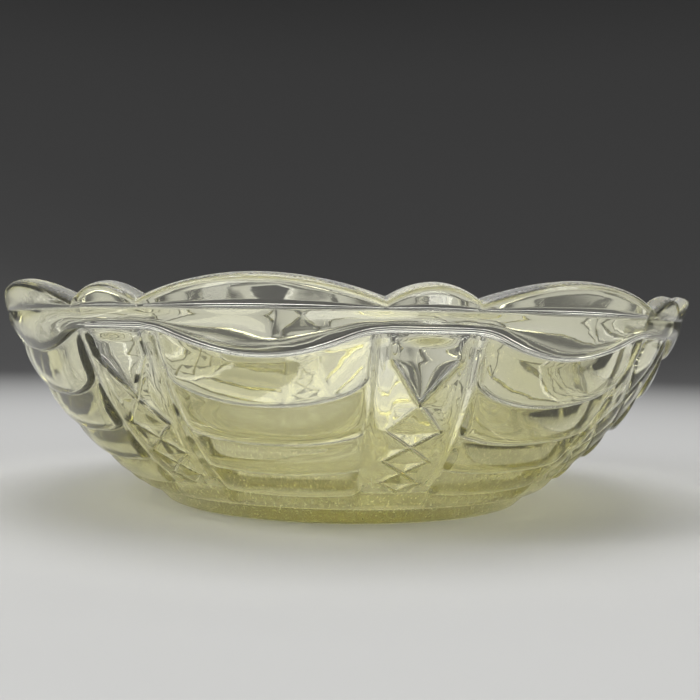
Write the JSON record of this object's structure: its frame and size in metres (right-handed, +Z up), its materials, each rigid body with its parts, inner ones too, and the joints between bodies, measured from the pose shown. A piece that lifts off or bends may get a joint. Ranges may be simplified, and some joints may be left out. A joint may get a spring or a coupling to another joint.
{
  "type": "decorative bowl",
  "caption": "Round pressed-glass bowl with a scalloped rim, draped swag panels between pillars with a diamond lattice, smooth inside and a flat foot",
  "frame": {"origin": "centre of the foot, on the surface that the bowl stands on", "axes": "+Z is up along the bowl's axis, and the middle of one draped panel faces -Y"},
  "size_m": [0.216, 0.216, 0.0656],
  "materials": {
    "straw_glass": "glossy fire-polished clear glass with a faint straw-yellow tint"
  },
  "bodies": {
    "root": {"bowl": "straw_glass"}
  },
  "joints": []
}
